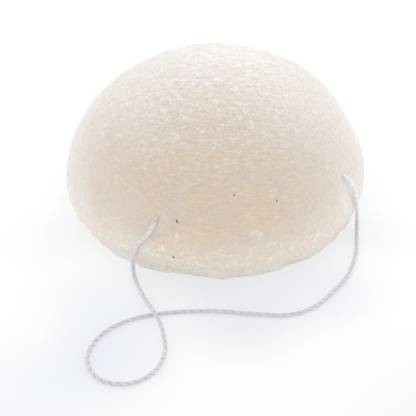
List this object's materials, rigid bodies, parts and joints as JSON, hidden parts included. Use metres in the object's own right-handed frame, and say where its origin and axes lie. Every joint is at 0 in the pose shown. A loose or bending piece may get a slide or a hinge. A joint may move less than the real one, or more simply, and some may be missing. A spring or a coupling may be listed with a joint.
{
  "type": "konjac sponge",
  "caption": "Half-ball face sponge of soft konjac gel with a flat base, and a thin twisted string threaded through its side to carry it or hang it up to dry.",
  "frame": {"origin": "centre of the flat base", "axes": "+Z from the flat base up to the crown, -Y towards the side where the string lies, +X to the right as seen from that side"},
  "size_m": [0.08, 0.1183, 0.04],
  "materials": {
    "konjac_gel": "damp and matt, finely wrinkled, slightly see-through, with open bubbles near the base",
    "string": "twisted from two plies, matt",
    "root_fleck": "dark, matt and fibrous"
  },
  "bodies": {
    "root": {"sponge_body": "konjac_gel", "string_loop": "string", "string_end_left": "string", "string_end_right": "string", "root_flecks": "root_fleck"}
  },
  "joints": []
}
